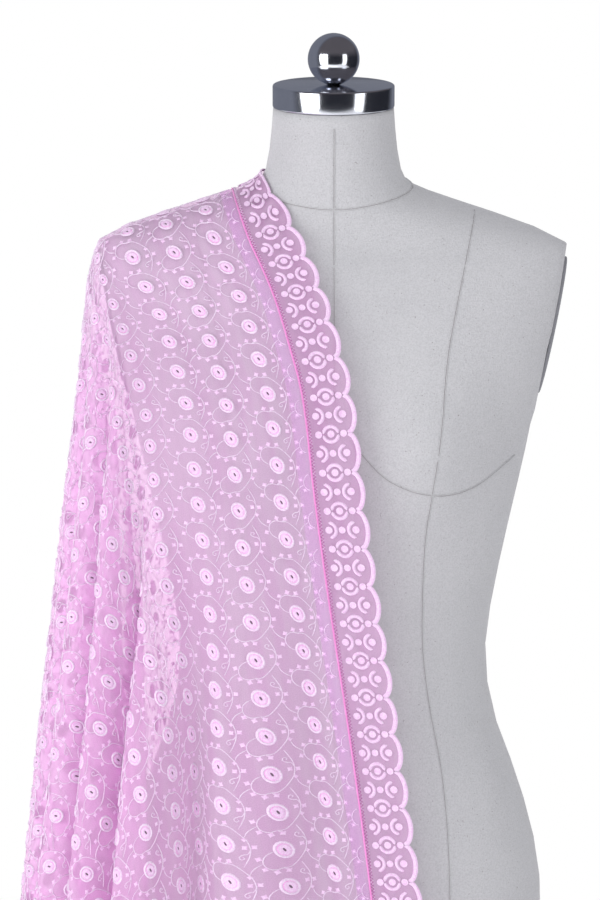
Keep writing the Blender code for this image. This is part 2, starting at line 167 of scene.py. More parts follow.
# run of cloth from the ridge, x, z, y at the lace seam, y below the shoulder tip, cross-thread fall
frontRun = np.array([
    (0.000, -0.0830, 1.4855, 0.0000, 0.0000, 17.3),
    (0.054, -0.0716, 1.4490, -0.0560, -0.0340, 16.0),
    (0.098, -0.0558, 1.4155, -0.0770, -0.0560, 14.0),
    (0.129, -0.0460, 1.3910, -0.0900, -0.0700, 12.0),
    (0.166, -0.0363, 1.3590, -0.1050, -0.0880, 9.5),
    (0.196, -0.0283, 1.3310, -0.1150, -0.1010, 7.5),
    (0.226, -0.0235, 1.3030, -0.1210, -0.1110, 5.0),
    (0.284, -0.0172, 1.2456, -0.1290, -0.1230, 2.0),
    (0.354, -0.0077, 1.1760, -0.1310, -0.1300, 0.0),
    (0.490, 0.0124, 1.0420, -0.1330, -0.1360, 0.0),
    (0.609, 0.0283, 0.9240, -0.1350, -0.1400, 0.0),
    (0.850, 0.0560, 0.6850, -0.1370, -0.1440, 0.0),
    (1.150, 0.0790, 0.3860, -0.1380, -0.1460, 0.0),
])
backRun = np.array([
    (0.000, -0.0830, 1.4855, 0.0000, 0.0000, 17.3),
    (0.060, -0.0760, 1.4540, 0.0560, 0.0380, 15.0),
    (0.130, -0.0660, 1.3950, 0.1000, 0.0760, 11.0),
    (0.200, -0.0560, 1.3280, 0.1130, 0.1000, 7.0),
    (0.300, -0.0440, 1.2300, 0.1180, 0.1150, 3.0),
    (0.450, -0.0300, 1.0820, 0.1230, 0.1250, 0.0),
    (0.610, -0.0160, 0.9230, 0.1290, 0.1330, 0.0),
    (0.850, 0.0000, 0.6850, 0.1330, 0.1380, 0.0),
    (1.150, 0.0140, 0.3870, 0.1360, 0.1420, 0.0),
])
# drop below the shoulder tip, and the x that the outline reaches beside the arm
outline = np.array([
    (0.000, -0.1985), (0.045, -0.2062), (0.095, -0.2130), (0.160, -0.2195), (0.226, -0.2260),
    (0.292, -0.2320), (0.407, -0.2460), (0.540, -0.2620), (0.740, -0.2860), (1.000, -0.3140),
    (1.400, -0.3480),
])
# edge of a fold nearer the side, its full depth, its lean to the side; places are shares of the
# way round to the side, below zero on the panel that lies over the shoulder
firstEdge = -0.95
frontFolds = ((-0.68, 0.005, 0.00), (-0.05, 0.035, 0.40), (0.21, 0.066, 0.30), (0.38, 0.078, 0.22),
              (0.60, 0.082, 0.12), (0.80, 0.076, 0.00), (1.00, 0.072, -0.10))
backFolds = ((-0.60, 0.002, 0.00), (-0.30, 0.008, 0.10), (0.00, 0.030, 0.25), (0.21, 0.070, 0.25),
             (0.46, 0.086, 0.20), (0.75, 0.090, 0.10), (1.00, 0.074, -0.10))


def easedRows(table, keys):
    # the table's rows at the keys, eased between rows and straight past the ends
    last = len(table) - 1
    index = np.clip(np.searchsorted(table[:, 0], keys, side="right") - 1, 0, last - 1)
    low, high = table[index], table[index + 1]
    before, after = table[np.maximum(index - 1, 0)], table[np.minimum(index + 2, last)]
    span = (high[:, 0] - low[:, 0])[:, None]
    share = ((keys - low[:, 0]) / span[:, 0])[:, None]
    slopeLow = (high - before) / (high[:, :1] - before[:, :1]) * span
    slopeHigh = (after - low) / (after[:, :1] - low[:, :1]) * span
    s2, s3 = share ** 2, share ** 3
    eased = ((2 * s3 - 3 * s2 + 1) * low + (s3 - 2 * s2 + share) * slopeLow
             + (3 * s2 - 2 * s3) * high + (s3 - s2) * slopeHigh)
    straight = high + slopeHigh * (share - 1)
    return np.where(share > 1, straight, eased)[:, 1:]


def smoothStep(share):
    share = np.clip(share, 0, 1)
    return share * share * (3 - 2 * share)


def panelBase(runTable, u, run):
    x, z, seamY, outerY, fall = easedRows(runTable, run).T
    fall = np.radians(fall)
    climb = np.where(u < 0, (u / stole["laceWidth"]) ** 2, 0) * (1 - smoothStep(run / stole["climbRun"]))
    climb = stole["laceClimb"] * climb
    share = np.maximum(u / stole["onShoulder"], 0)
    return np.stack((x - u * np.cos(fall) - climb, seamY + (outerY - seamY) * share,
                     z - u * np.sin(fall) + climb), axis=1)


def foldsAt(folds, share, run, forward):
    # outward rise of the folds and their shift to the side, in metres; they slant towards the side
    atBend = slant["steep"] * (slant["bendRun"] - slant["zeroRun"])
    drift = np.where(run < slant["bendRun"], slant["steep"] * (run - slant["zeroRun"]),
                     atBend + slant["gentle"] * (run - slant["bendRun"]))
    drift = drift * (1 - np.maximum(share, 0) ** slant["fade"])
    place = share - drift * (1.0 if forward < 0 else slant["atBack"])
    out, lean = np.zeros_like(share), np.zeros_like(share)
    around = stole["sideGirth"] * smoothStep(run / stole["headRun"])
    start = firstEdge
    for end, depth, leaning in folds:
        inside = (place >= start) & (place < end)
        phase = (place - start) / (end - start)
        rise = depth * (1 - np.abs(np.cos(math.pi * phase)) ** stole["foldFlatness"])
        spread = -stole["foldHead"] * (end - start) * np.sin(2 * math.pi * phase) * around
        spread = spread * min(depth / stole["headDepth"], 1)
        out = np.where(inside, rise, out)
        lean = np.where(inside, rise * leaning + spread, lean)
        start = end
    ratio = run / stole["foldFullRun"]
    growth = np.where(ratio > 1, 1 + stole["foldRate"] * (ratio - 1), np.maximum(ratio, 0) ** stole["foldGrowth"])
    flatPanel = 1 - smoothStep((run - stole["panelFlat"]) / stole["panelRun"])
    growth *= 1 - flatPanel * (1 - smoothStep(share / stole["panelShare"]))
    return out * growth, lean * growth


def panelPoints(runTable, folds, u, run, forward):
    points = panelBase(runTable, u, run)
    share = np.minimum((u - stole["onShoulder"]) / stole["foldSpan"], 0)
    out, lean = foldsAt(folds, share, run, forward)
    points[:, 0] -= lean
    points[:, 1] += forward * out
    return points


def fanPoints(runTable, folds, share, run, forward):
    column = panelBase(runTable, np.full_like(run, stole["onShoulder"]), run)
    tip = panelBase(runTable, np.array([stole["onShoulder"]]), np.zeros(1))[0]
    dropHere = tip[2] - column[:, 2]
    drop = dropHere + (stole["sideHang"] * run - dropHere) * smoothStep(share * stole["sideEase"])
    out, lean = foldsAt(folds, share, run, forward)
    ratio = run / stole["foldFullRun"]
    inset = stole["foldInset"] * np.minimum(ratio, 1 + stole["foldRate"] * (ratio - 1))
    reach = np.minimum(easedRows(outline, drop)[:, 0] + inset, column[:, 0] - 0.0001)
    turn = share * math.pi / 2
    across = np.sin(turn) ** (2 / stole["sideRoundness"])
    depth = np.maximum(np.cos(turn), 0) ** (2 / stole["sideRoundness"])
    x = column[:, 0] + (reach - column[:, 0]) * across - out * np.sin(turn) - lean * np.cos(turn)
    y = column[:, 1] * depth + forward * (out * np.cos(turn) - lean * np.sin(turn))
    return np.stack((x, y, tip[2] - drop), axis=1)


# how finely the way round the drape is measured, and the runs between which it is
turnTable = {"shares": 500, "turns": 400, "levels": 240, "lowRun": 0.005, "highRun": 1.4}


def gridPlace(keys, low, high, count):
    # where the keys lie on an even grid of so many points, kept inside its last cell
    return np.clip((keys - low) / (high - low) * (count - 1), 0, count - 1.001)


def blendCells(field, row, column):
    i, j = row.astype(int), column.astype(int)
    s, t = row - i, column - j
    if field.ndim > 2:
        s, t = s[:, None], t[:, None]
    return ((field[i, j] * (1 - s) + field[i + 1, j] * s) * (1 - t)
            + (field[i, j + 1] * (1 - s) + field[i + 1, j + 1] * s) * t)


def turnShares(runTable, folds, forward, turns, runs):
    # how far round the drape each direction of the flat cloth lies, by length along the folds
    share = np.linspace(0, 1, turnTable["shares"])
    wanted = np.linspace(0, 1, turnTable["turns"])
    levels = np.linspace(turnTable["lowRun"], turnTable["highRun"], turnTable["levels"])
    table = []
    for level in levels:
        points = fanPoints(runTable, folds, share, np.full_like(share, level), forward)
        length = np.concatenate(([0], np.cumsum(np.linalg.norm(np.diff(points, axis=0), axis=1))))
        table.append(np.interp(wanted, length / length[-1], share))
    return blendCells(np.array(table), gridPlace(runs, levels[0], levels[-1], len(levels)),
                      gridPlace(turns, 0, math.pi / 2, len(wanted)))


def drape(u, v):
    # u from the lace seam outwards, v from the ridge, down the front when positive
    points = np.zeros((len(u), 3))
    for runTable, folds, forward in ((frontRun, frontFolds, -1), (backRun, backFolds, 1)):
        here = (v >= 0) if forward < 0 else (v < 0)
        uHere, run = u[here], np.abs(v[here])
        beyond = uHere - stole["onShoulder"]
        fan = beyond > 0
        result = panelPoints(runTable, folds, uHere, run, forward)
        direction = np.arctan2(beyond[fan], np.maximum(run[fan], 1e-9))
        fanRun = np.hypot(beyond[fan], run[fan])
        share = turnShares(runTable, folds, forward, direction, fanRun)
        result[fan] = fanPoints(runTable, folds, share, fanRun, forward)
        points[here] = result
    return points


formShape = mergedCopy("form_torso")
formTree = BVHTree.FromBMesh(formShape)


def clearOfForm(points, clearance):
    for index in np.nonzero(points[:, 2] > stole["formLow"])[0]:
        near, normal = formTree.find_nearest(Vector(points[index]), stole["clearReach"])[:2]
        if near is None:
            continue
        height = (Vector(points[index]) - near).dot(normal)
        if height < clearance:
            points[index] += np.array(normal) * (clearance - height)
    return points


def smoothGrid(points, shape, weight, passes):
    # evens out the grid where weight says so
    grid = points.reshape(*shape, 3)
    for _ in range(passes):
        mean = grid.copy()
        mean[1:-1, 1:-1] = (grid[:-2, 1:-1] + grid[2:, 1:-1] + grid[1:-1, :-2] + grid[1:-1, 2:]) / 4
        mean[0, 1:-1] = (grid[0, :-2] + grid[0, 2:]) / 2
        mean[-1, 1:-1] = (grid[-1, :-2] + grid[-1, 2:]) / 2
        grid = grid + (mean - grid) * weight[..., None]
    return grid.reshape(-1, 3)


# The whole cloth, lace included, as one fine map that every piece of it is laid on
clothMap = {
    "low": -0.042, "across": 152, "along": 385,
    "evenings": (12, 6, 3),    # passes of smoothing, each round followed by one clear of the form
    "evenBy": 0.16, "evenRidge": 0.5, "ridgeFrom": 0.02, "ridgeFade": 0.05,
}
mapU = np.linspace(clothMap["low"], stole["bodyWidth"], clothMap["across"])
mapV = np.linspace(-stole["length"] / 2, stole["length"] / 2, clothMap["along"])
gridU, gridV = np.meshgrid(mapU, mapV, indexing="ij")
mapPoints = clearOfForm(drape(gridU.ravel(), gridV.ravel()), stole["clearance"])
nearRidge = 1 - smoothStep((np.abs(gridV) - clothMap["ridgeFrom"]) / clothMap["ridgeFade"])
evenBy = clothMap["evenRidge"] * nearRidge + clothMap["evenBy"]
for passes in clothMap["evenings"]:
    mapPoints = smoothGrid(mapPoints, gridU.shape, evenBy, passes)
    mapPoints = clearOfForm(mapPoints, stole["clearance"])
mapPoints = mapPoints.reshape(*gridU.shape, 3)
acrossStep = np.gradient(mapPoints, axis=0)
alongStep = np.gradient(mapPoints, axis=1)
mapNormals = np.cross(acrossStep, alongStep)
mapNormals /= np.maximum(np.linalg.norm(mapNormals, axis=2, keepdims=True), 1e-12)
print("drape laid", mapPoints.shape)


def sampleMap(field, u, v):
    return blendCells(field, gridPlace(u, mapU[0], mapU[-1], len(mapU)), gridPlace(v, mapV[0], mapV[-1], len(mapV)))


def layOnCloth(flat):
    # flat points (u, v, height over the cloth) to their place on the drape
    return sampleMap(mapPoints, flat[:, 0], flat[:, 1]) + sampleMap(mapNormals, flat[:, 0], flat[:, 1]) * flat[:, 2:]


def flatCloth(uLow, uHigh, step):
    # a flat grid of the cut size, u along X and v along Y
    width, length = uHigh - uLow, stole["length"]
    shape = bmesh.new()
    bmesh.ops.create_grid(shape, x_segments=round(width / step), y_segments=round(length / step), size=0.5)
    bmesh.ops.scale(shape, vec=(width, length, 1), verts=shape.verts)
    bmesh.ops.translate(shape, vec=((uLow + uHigh) / 2, 0, 0), verts=shape.verts)
    return shape


def drapedMesh(name, shape):
    # keeps the flat cloth as the UV map, in metres, and lays the mesh on the drape
    layer = shape.loops.layers.uv.new("flat")
    for face in shape.faces:
        for loop in face.loops:
            loop[layer].uv = loop.vert.co.xy
    mesh = meshFromShape(name, shape)
    flat = np.zeros(len(mesh.vertices) * 3)
    mesh.vertices.foreach_get("co", flat)
    mesh.vertices.foreach_set("co", layOnCloth(flat.reshape(-1, 3)).ravel())
    mesh.update()
    return mesh


# Cloth and thread
clothFinish = {
    "surface": {"Roughness": 0.62, "Specular IOR Level": 0.3, "Sheen Weight": 0.5, "Sheen Roughness": 0.45,
                "Sheen Tint": (1.0, 0.82, 0.96, 1)},
    "crepeScale": 1400.0, "crepeStrength": 0.3, "crepeDepth": 0.0004, "crepeCover": 0.05,
    # lengthwise crimp, which is what small creases look like
    "crimpScale": 95.0, "crimpStretch": (1.0, 0.07, 1.0), "crimpStrength": 0.50, "crimpDepth": 0.005,
    # painted shade: deeper pink in the crimp's hollows; and deeper pink in the light that comes through
    "creaseShadeTint": (0.97, 0.82, 0.95), "throughTint": (1.0, 0.74, 0.94),
}


def clothMaterial(name, colour, opacity, translucency):
    material, tree, shader = newMaterial(name)
    links = tree.links
    setSockets(shader, clothFinish["surface"])
    flat = tree.nodes.new("ShaderNodeTexCoord").outputs["UV"]
    crepe = noiseNode(tree, flat, clothFinish["crepeScale"], 2.0, 0.6)
    crimp = noiseNode(tree, stretchNode(tree, flat, clothFinish["crimpStretch"]), clothFinish["crimpScale"], 3.0)
    fold = addBump(tree, shader, crimp, clothFinish["crimpStrength"], clothFinish["crimpDepth"])
    grain = addNode(tree, "ShaderNodeBump", Strength=clothFinish["crepeStrength"], Distance=clothFinish["crepeDepth"])
    links.new(crepe, grain.inputs["Height"])
    links.new(grain.outputs["Normal"], fold.inputs["Normal"])
    creaseShade = [channel * share for channel, share in zip(colour, clothFinish["creaseShadeTint"])]
    through = [channel * share for channel, share in zip(colour, clothFinish["throughTint"])]
    # the crimp's hollows take the deeper pink: painted shade in the small creases
    tint = rampNode(tree, crimp, ((0.36, creaseShade), (0.60, colour)))
    links.new(tint, shader.inputs["Base Color"])
    glow = addNode(tree, "ShaderNodeBsdfTranslucent", Color=(*through, 1))
    cloth = mixShaders(tree, shader, glow)
    cloth.inputs["Fac"].default_value = translucency
    cover = addNode(tree, "ShaderNodeMapRange", From_Min=0.3, From_Max=0.7,
                    To_Min=opacity - clothFinish["crepeCover"], To_Max=opacity + clothFinish["crepeCover"])
    links.new(crepe, cover.inputs["Value"])
    sheer = mixShaders(tree, tree.nodes.new("ShaderNodeBsdfTransparent"), cloth)
    links.new(cover.outputs["Result"], sheer.inputs["Fac"])
    links.new(sheer.outputs["Shader"], tree.nodes["Material Output"].inputs["Surface"])
    return material


threadFinish = {
    "surface": {"Sheen Weight": 0.25, "Specular IOR Level": 0.3}, "strandStrength": 0.25, "strandDepth": 0.0002,
    "stitchScale": 850.0, "stitchTint": (0.93, 0.78, 0.91),
}


def threadMaterial(name, colour, shade, roughness):
    # satin thread: fine strands across the UV's x with painted shade between them, uneven stitches, a silky sheen
    material, tree, shader = newMaterial(name)
    place = tree.nodes.new("ShaderNodeTexCoord")
    strands = addNode(tree, "ShaderNodeTexWave", Scale=1.0, Distortion=1.5, Detail=1.0)
    strands.wave_type = "BANDS"
    tree.links.new(place.outputs["UV"], strands.inputs["Vector"])
    # the ramp darkens the gaps between the strands: painted shade between the threads
    tint = rampNode(tree, strands.outputs["Fac"], ((0.0, shade), (0.6, colour)))
    stitches = noiseNode(tree, place.outputs["Object"], threadFinish["stitchScale"], 1.0)
    uneven = rampNode(tree, stitches, ((0.38, threadFinish["stitchTint"]), (0.56, (1, 1, 1))))
    tree.links.new(mixNode(tree, "MULTIPLY", tint, uneven), shader.inputs["Base Color"])
    shader.inputs["Roughness"].default_value = roughness
    setSockets(shader, threadFinish["surface"])
    addBump(tree, shader, strands.outputs["Fac"], threadFinish["strandStrength"], threadFinish["strandDepth"])
    return material


# name, colour, how much of it covers, how much light comes through
pinkGeorgette = clothMaterial("pinkGeorgette", (0.98, 0.78, 0.97), 0.55, 0.6)
seamPink = clothMaterial("seamTurningPink", (0.84, 0.62, 0.92), 0.30, 0.5)
pinkNet = clothMaterial("pinkNet", (0.84, 0.50, 0.80), 0.46, 0.4)
# name, colour, painted shade between the strands, roughness
paleSatin = threadMaterial("paleSatinThread", (0.71, 0.61, 0.72), (0.66, 0.50, 0.67), 0.45)
# the groove thread's deeper pink is painted shade in the rosette's groove
grooveShadeSatin = threadMaterial("grooveShadeThread", (0.86, 0.46, 0.78), (0.76, 0.34, 0.66), 0.55)
floretSatin = threadMaterial("floretThread", (0.73, 0.56, 0.73), (0.67, 0.44, 0.66), 0.48)
laceSatin = threadMaterial("laceSatinThread", (0.71, 0.57, 0.72), (0.66, 0.41, 0.64), 0.42)
seamSatin = threadMaterial("seamCordThread", (0.80, 0.30, 0.64), (0.66, 0.18, 0.48), 0.5)
# a dark disc over each rosette's eyelet: painted shade seen through the hole
eyeletShade = threadMaterial("eyeletShade", (0.20, 0.14, 0.19), (0.14, 0.09, 0.13), 0.8)
# a dark strip under the lace ladder: painted shade in its holes
holeShade = threadMaterial("ladderHoleShade", (0.42, 0.16, 0.36), (0.34, 0.11, 0.28), 0.8)

# Stole body
bodyMesh = drapedMesh("stoleBody", flatCloth(0.0, stole["bodyWidth"], stole["gridStep"]))
body = finishPiece("stoleBody", bodyMesh, [pinkGeorgette], "georgette", "stole_body_front", "stole_body_back")
print("body", len(bodyMesh.polygons))

# Embroidery: one motif drawn flat, then repeated over the cloth
motif = {
    "pitchAlong": 0.030, "repeatAcross": 0.066, "secondAcross": 0.0343, "secondAlong": 0.0062,
    "firstColumn": 0.026, "firstRow": 0.022,
    "rosette": (0.0059, 0.0075), "eyelet": (0.0007, 0.0017), "tilt": 24.0, "segments": 14,
    # share of the rosette's radius and height there, from the eyelet out: pad, groove, rim
    "rings": ((0.24, 0.0006), (0.40, 0.0010), (0.62, 0.0009), (0.69, 0.0002), (0.77, 0.0011), (0.88, 0.0014),
              (1.0, 0.0001)),
    "eyeletTo": 0.30, "padTo": 0.60, "grooveTo": 0.68, "holeOver": 1.2, "holeHeight": 0.0003,
    "stemHalf": 0.00038, "stemHeight": 0.0008,
    "petals": 4, "petalHeight": 0.0007, "petalNotch": 0.58, "petalEdge": 0.25,
    "hemGap": 0.004, "seamGap": 0.0016,        # bare cloth beside the hems and the lace seam
}
mm = 0.001
# towards the lace and down the cloth, in millimetres from the middle of the rosette
stemPath = ((-5.8, 0.8), (-9.6, 3.0), (-12.0, 6.6), (-12.0, 11.0), (-9.6, 14.2), (-5.8, 15.4), (-2.0, 14.3),
            (2.0, 14.2), (5.6, 11.6), (9.4, 7.4), (12.6, 2.8), (14.0, -2.6), (13.6, -8.0), (11.6, -13.4),
            (9.0, -18.4))
curlPath = ((13.9, -4.6), (12.4, -8.0), (9.6, -8.6), (7.2, -10.4), (8.2, -12.6), (10.2, -11.6), (9.2, -10.4))
leftBranch = ((-12.4, 10.2), (-15.6, 12.2), (-18.4, 14.8), (-20.0, 18.4))
budPath = ((-2.0, 14.3), (-0.6, 15.4), (0.9, 16.0))
florets = ((0.9, 16.6, 2.3), (-5.6, 17.4, 2.3), (-11.8, 14.6, 2.2), (-14.4, 6.2, 2.3), (10.9, -3.0, 2.2),
           (16.2, -2.6, 2.3), (-20.4, 20.4, 1.9))


def smoothPath(points, count):
    # a curve through the points, evenly stepped in its own parameter
    points = np.array(points, float)
    keys = np.arange(len(points), dtype=float)
    table = np.column_stack((keys, points))
    return easedRows(table, np.linspace(0, len(points) - 1, count))


def layStrip(shape, path, halfWidth, height, layer, sections=(-1, 0, 1), rises=(0.1, 1.0, 0.1), taper=0.5):
    # a raised strip along a flat path, its faces up
    path = np.array(path)
    count = len(path)
    made = bmesh.ops.create_grid(shape, x_segments=len(sections) - 1, y_segments=count - 1, size=1.0)["verts"]
    ways = np.gradient(path, axis=0)
    ways /= np.linalg.norm(ways, axis=1, keepdims=True)
    lengths = np.concatenate(([0], np.cumsum(np.linalg.norm(np.diff(path, axis=0), axis=1))))
    for vert in made:
        column = round((vert.co.x + 1) / 2 * (len(sections) - 1))
        row = round((vert.co.y + 1) / 2 * (count - 1))
        side = sections[column] * halfWidth * (taper if row in (0, count - 1) else 1.0)
        vert.co = (path[row][0] + ways[row][1] * side, path[row][1] - ways[row][0] * side, height * rises[column])
        vert[layer] = lengths[row]


def spinRing(shape, radii, profile, segments, layer):
    # profile: share of the outer radius and height, from inside out; radii give the oval
    verts = [shape.verts.new((share, 0, height)) for share, height in profile]
    edges = [shape.edges.new(pair) for pair in zip(verts, verts[1:])]
    bmesh.ops.spin(shape, geom=verts + edges, cent=(0, 0, 0), axis=(0, 0, 1), dvec=(0, 0, 0),
                   angle=2 * math.pi, steps=segments, use_merge=True, use_duplicate=False)
    for vert in shape.verts:
        angle = math.atan2(vert.co.y, vert.co.x)
        vert[layer] = angle % math.pi * radii[0]
        share = math.hypot(vert.co.x, vert.co.y)
        vert.co = (math.cos(angle) * share * radii[0], math.sin(angle) * share * radii[1], vert.co.z)


def layFloret(shape, centre, radius, layer):
    petals, height = motif["petals"], motif["petalHeight"]
    made = bmesh.ops.create_circle(shape, cap_ends=True, cap_tris=True, segments=petals * 2, radius=radius)
    turn = (centre[0] * 917.0 + centre[1] * 431.0) % 1.0     # each floret turned its own way
    for vert in made["verts"]:
        distance = math.hypot(vert.co.x, vert.co.y)
        angle = math.atan2(vert.co.y, vert.co.x)
        reach = 1.0 if round(angle / math.pi * petals) % 2 == 0 else motif["petalNotch"]
        lift = height if distance < radius * 0.1 else height * motif["petalEdge"]
        distance = distance * reach
        vert.co = (centre[0] + math.cos(angle + turn) * distance, centre[1] + math.sin(angle + turn) * distance, lift)
        vert[layer] = distance


def newFlat():
    shape = bmesh.new()
    return shape, shape.verts.layers.float.new("strand")


def tileArrays(shape, layer):
    # the drawn tile as arrays: points, strand value, triangles, material of each triangle
    bmesh.ops.triangulate(shape, faces=shape.faces)
    for face in shape.faces:
        if face.normal.z < 0:
            face.normal_flip()
    shape.verts.ensure_lookup_table()
    points = np.array([vert.co[:] for vert in shape.verts])
    strand = np.array([vert[layer] for vert in shape.verts])
    triangles = np.array([[vert.index for vert in face.verts] for face in shape.faces])
    kinds = np.array([face.material_index for face in shape.faces])
    shape.free()
    return points, strand, triangles, kinds


def drawRosette():
    shape, layer = newFlat()
    radii, eyelet = motif["rosette"], motif["eyelet"]
    spinRing(shape, radii, motif["rings"], motif["segments"], layer)
    for face in shape.faces:
        middle = face.calc_center_median()
        share = math.hypot(middle.x / radii[0], middle.y / radii[1])
        # the groove band takes the deeper pink groove thread: painted shade in the groove
        face.material_index = 3 if share < motif["padTo"] else 2 if share < motif["grooveTo"] else 0
    for vert in shape.verts:
        if math.hypot(vert.co.x / radii[0], vert.co.y / radii[1]) < motif["eyeletTo"]:
            angle = math.atan2(vert.co.y / radii[1], vert.co.x / radii[0])
            vert.co.x = eyelet[0] * math.cos(angle)
            vert.co.y = eyelet[1] * math.sin(angle)
    # a dark disc over the eyelet: painted shade seen through the hole
    hole = bmesh.ops.create_circle(shape, cap_ends=True, cap_tris=True, segments=6, radius=1.0)
    for vert in hole["verts"]:
        vert.co = (vert.co.x * eyelet[0] * motif["holeOver"], vert.co.y * eyelet[1] * motif["holeOver"],
                   motif["holeHeight"])
    for face in {face for vert in hole["verts"] for face in vert.link_faces}:
        face.material_index = 1
    turn = Matrix.Rotation(-math.radians(motif["tilt"]), 3, "Z")
    bmesh.ops.rotate(shape, cent=(0, 0, 0), matrix=turn, verts=shape.verts)
    return tileArrays(shape, layer)


def drawVine():
    shape, layer = newFlat()
    half, height = motif["stemHalf"], motif["stemHeight"]
    for path, count in ((stemPath, 26), (curlPath, 11), (leftBranch, 5), (budPath, 3)):
        layStrip(shape, smoothPath(path, count) * mm, half, height, layer)
    return tileArrays(shape, layer)


def drawFlorets():
    shape, layer = newFlat()
    for across, along, radius in florets:
        layFloret(shape, (across * mm, along * mm), radius * mm, layer)
    return tileArrays(shape, layer)


def motifPlaces():
    # u, v and flip of every motif: two columns to a repeat, the first with its drawing upside down
    places = []
    rows = int(stole["length"] / 2 / motif["pitchAlong"]) + 2
    columns = int(stole["bodyWidth"] / motif["repeatAcross"]) + 2
    for column in range(-1, columns):
        for row in range(-rows, rows):
            u = motif["firstColumn"] + column * motif["repeatAcross"]
            v = motif["firstRow"] + row * motif["pitchAlong"]
            places.append((u, v, -1))
            places.append((u + motif["secondAcross"], v + motif["secondAlong"], 1))
    return np.array(places)


def repeatTile(name, tile, places, materials, slot, inside):
    # the tile at every place whose every point is on the cloth, laid on the drape
    points, strand, triangles, kinds = tile
    flips = places[:, 2][:, None]
    u = places[:, 0][:, None] - points[:, 0][None]
    v = places[:, 1][:, None] + points[:, 1][None] * flips
    height = np.broadcast_to(points[:, 2], u.shape)
    flat = np.stack((u, v, height), axis=2).reshape(-1, 3)
    offsets = (np.arange(len(places)) * len(points))[:, None, None]
    faces = triangles[None] + offsets
    # u runs against the drawing, which turns the upright tiles over
    turned = places[:, 2] > 0
    faces[turned] = faces[turned][:, :, ::-1]
    faces = faces.reshape(-1, 3)
    kinds = np.tile(kinds, len(places))
    strands = np.tile(strand, len(places))
    good = inside(flat[:, 0], flat[:, 1])
    keep = good[faces].all(axis=1)
    faces, kinds = faces[keep], kinds[keep]
    used, faces = np.unique(faces, return_inverse=True)
    faces = faces.reshape(-1, 3)
    return meshPiece(name, layOnCloth(flat[used]), strands[used], faces, kinds, materials, slot)


def meshPiece(name, points, strands, faces, kinds, materials, slot):
    mesh = bpy.data.meshes.new(name)
    mesh.vertices.add(len(points))
    mesh.vertices.foreach_set("co", points.ravel())
    mesh.loops.add(faces.size)
    mesh.loops.foreach_set("vertex_index", faces.ravel())
    mesh.polygons.add(len(faces))
    mesh.polygons.foreach_set("loop_start", np.arange(0, faces.size, 3))
    mesh.polygons.foreach_set("material_index", kinds)
    uvs = mesh.uv_layers.new(name="strands")
    values = np.stack((strands[faces.ravel()] * 1000.0, np.zeros(faces.size)), axis=1)
    uvs.data.foreach_set("uv", values.ravel())
    mesh.update(calc_edges=True)
    mesh.shade_smooth()
    return finishPiece(name, mesh, materials, slot)


def onBody(u, v):
    gap = motif["hemGap"]
    return (u > motif["seamGap"]) & (u < stole["bodyWidth"] - gap) & (np.abs(v) < stole["length"] / 2 - gap)


places = motifPlaces()
upright = places.copy()     # rosettes all tilt the same way
upright[:, 2] = 1
drawn = (("Rosettes", drawRosette(), upright, [paleSatin, eyeletShade, grooveShadeSatin, floretSatin]),
         ("Vines", drawVine(), places, [paleSatin]), ("Florets", drawFlorets(), places, [floretSatin]))
for kind, tile, where, threads in drawn:
    for half, some in (("front", where[where[:, 1] >= 0]), ("back", where[where[:, 1] < 0])):
        piece = repeatTile(half + kind, tile, some, threads, "georgette", onBody)
        print(piece.name, len(piece.data.polygons))

# Narrow hems on the outer long edge and both ends
hem = {
    "width": 0.006, "rise": 0.0009, "step": 0.006,
    "sections": (-1, -0.86, 0, 0.86, 1), "rises": (0.1, 0.9, 0.6, 0.9, 0.1),
}


def layHem(name, start, end, inward):
    # a folded edge: a flat raised band between two flat points (u, v)
    shape, layer = newFlat()
    count = round(math.dist(start, end) / hem["step"])
    path = [(start[0] + (end[0] - start[0]) * step / count + inward[0] * hem["width"] / 2,
             start[1] + (end[1] - start[1]) * step / count + inward[1] * hem["width"] / 2)
            for step in range(count + 1)]
    layStrip(shape, path, hem["width"] / 2, hem["rise"], layer, hem["sections"], hem["rises"], 1.0)
    points, strand, triangles, kinds = tileArrays(shape, layer)
    return meshPiece(name, layOnCloth(points), strand, triangles[:, ::-1], kinds, [laceSatin], "georgette")


halfLength = stole["length"] / 2
hems = [
    layHem("outerHem", (stole["bodyWidth"], -halfLength), (stole["bodyWidth"], halfLength), (-1, 0)),
    layHem("frontHem", (0.0, halfLength), (stole["bodyWidth"], halfLength), (0, -1)),
    layHem("backHem", (0.0, -halfLength), (stole["bodyWidth"], -halfLength), (0, 1)),
]

# the turned edge of the body that lies along the lace seam, as a second layer
turning = {"from": 0.0006, "to": 0.0105, "over": 0.0005, "step": 0.005}
turningFlat = flatCloth(turning["from"], turning["to"], turning["step"])
bmesh.ops.translate(turningFlat, vec=(0, 0, turning["over"]), verts=turningFlat.verts)
hems.append(finishPiece("seamTurning", drapedMesh("seamTurning", turningFlat), [seamPink], "georgette"))

